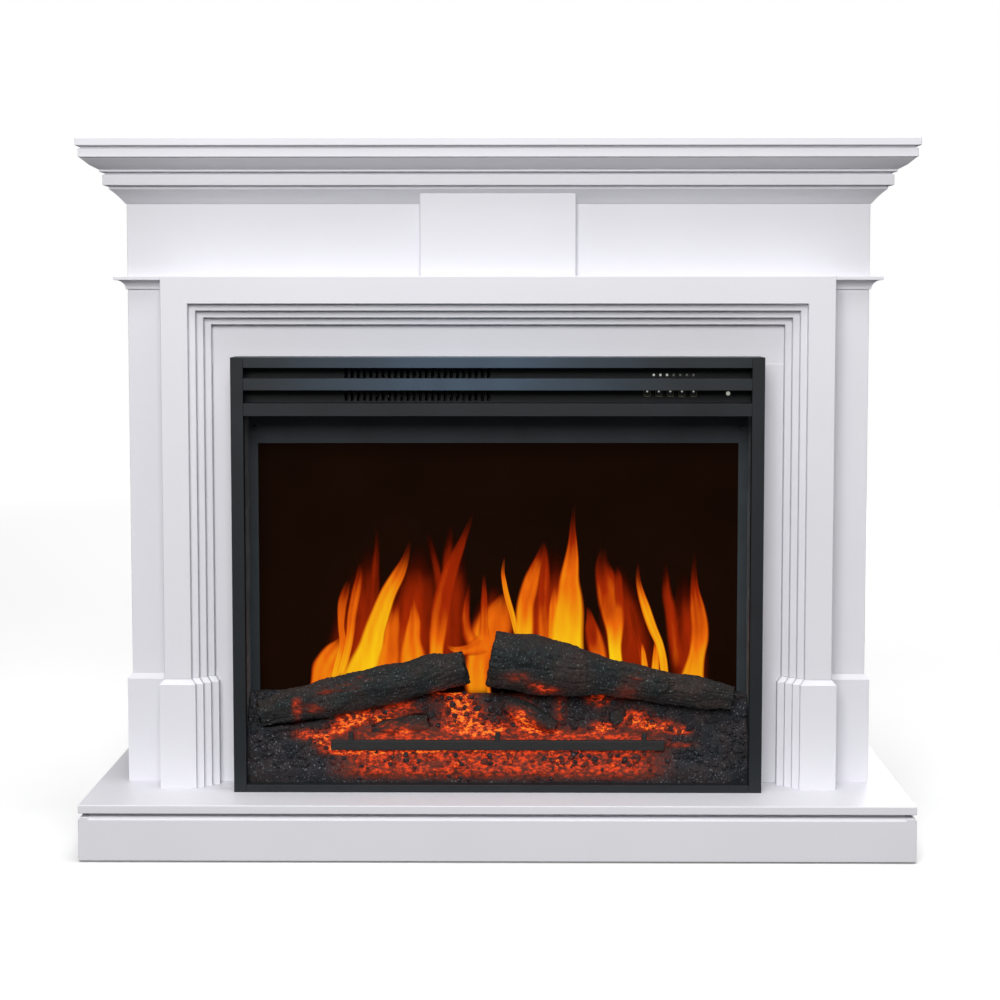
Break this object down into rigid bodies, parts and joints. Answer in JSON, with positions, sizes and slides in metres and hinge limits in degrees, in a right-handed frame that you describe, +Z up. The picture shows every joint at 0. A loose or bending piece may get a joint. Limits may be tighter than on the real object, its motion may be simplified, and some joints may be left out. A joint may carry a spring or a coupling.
{
  "type": "electric fireplace",
  "caption": "Electric fireplace with a white classical surround, mantel shelf and hearth round a black steel fire insert with logs, embers and louvred heater.",
  "frame": {"origin": "on the floor under the middle of the hearth", "axes": "+X to the right of someone facing the fire, +Y back to the wall, +Z up"},
  "size_m": [1, 0.38, 0.848],
  "materials": {
    "lacquer": "white satin lacquer on fibreboard",
    "raw_board": "bare fibreboard",
    "felt": "pressed felt",
    "zinc_steel": "zinc-coated sheet",
    "black_steel": "satin black powder coat",
    "screw_head": "black",
    "screen": "smoked gloss",
    "button_plastic": "moulded black",
    "circuit_board": "solder mask",
    "indicator": "translucent",
    "ember": "translucent painted resin",
    "log": "painted resin bark",
    "grate_iron": "matt black",
    "lamp": "white strip",
    "reflector": "bright",
    "blower_plastic": "moulded black",
    "motor_steel": "plated",
    "ceramic": "dark fired ceramic"
  },
  "bodies": {
    "fireplace": {"back_rails": "raw_board", "bezel_screws": "screw_head", "blower_ends": "zinc_steel", "blower_housing": "zinc_steel", "cable_inlet": "blower_plastic", "cap_mouldings": "lacquer", "casing_back": "zinc_steel", "casing_decks": "zinc_steel", "casing_sides": "zinc_steel", "control_board": "circuit_board", "cornice_lower": "lacquer", "cornice_upper": "lacquer", "cove_moulding": "lacquer", "ember_bed": "ember", "ember_lamps": "lamp", "flame_screen": "screen", "frame_left": "lacquer", "frame_right": "lacquer", "frame_top": "lacquer", "frieze_board": "lacquer", "glides": "felt", "glue_blocks": "raw_board", "grate_bar": "grate_iron", "hearth_ends": "lacquer", "hearth_front": "lacquer", "hearth_rails": "raw_board", "hearth_top": "lacquer", "heating_element": "ceramic", "indicator_lights": "indicator", "inner_panels": "lacquer", "key_block": "lacquer", "log_branch": "log", "log_left": "log", "log_low": "log", "log_right": "log", "louvre_bottom": "black_steel", "louvre_middle": "black_steel", "louvre_top": "black_steel", "mantel_shelf": "lacquer", "motors": "motor_steel", "ogee_moulding": "lacquer", "pilasters": "lacquer", "plinth_left": "lacquer", "plinth_right": "lacquer", "rod_bearings": "zinc_steel", "screen_bezel": "black_steel", "side_panels": "lacquer", "skirtings": "lacquer", "trim_bottom": "black_steel", "trim_left": "black_steel", "trim_right": "black_steel", "vent_panel": "black_steel", "wall_brackets": "zinc_steel"},
    "push_1": {"button_1": "button_plastic"},
    "push_2": {"button_2": "button_plastic"},
    "push_3": {"button_3": "button_plastic"},
    "push_4": {"button_4": "button_plastic"},
    "push_5": {"button_5": "button_plastic"},
    "rotor": {"blower_rotor": "blower_plastic"},
    "flicker": {"flicker_rod": "reflector"}
  },
  "joints": [
    {"name": "push_1_travel", "type": "slide", "parent": "fireplace", "child": "push_1", "axis": [0, 1, 0], "range_m": [0, 0.0012], "stiffness_N_per_m": 400, "springref_m": -0.0005},
    {"name": "push_2_travel", "type": "slide", "parent": "fireplace", "child": "push_2", "axis": [0, 1, 0], "range_m": [0, 0.0012], "stiffness_N_per_m": 400, "springref_m": -0.0005},
    {"name": "push_3_travel", "type": "slide", "parent": "fireplace", "child": "push_3", "axis": [0, 1, 0], "range_m": [0, 0.0012], "stiffness_N_per_m": 400, "springref_m": -0.0005},
    {"name": "push_4_travel", "type": "slide", "parent": "fireplace", "child": "push_4", "axis": [0, 1, 0], "range_m": [0, 0.0012], "stiffness_N_per_m": 400, "springref_m": -0.0005},
    {"name": "push_5_travel", "type": "slide", "parent": "fireplace", "child": "push_5", "axis": [0, 1, 0], "range_m": [0, 0.0012], "stiffness_N_per_m": 400, "springref_m": -0.0005},
    {"name": "blower_spin", "type": "hinge", "parent": "fireplace", "child": "rotor", "pos_m": [-0.09, -0.023, 0.54875], "axis": [1, 0, 0], "continuous": true},
    {"name": "flicker_spin", "type": "hinge", "parent": "fireplace", "child": "flicker", "pos_m": [0, 0.005, 0.1295], "axis": [1, 0, 0], "continuous": true}
  ]
}
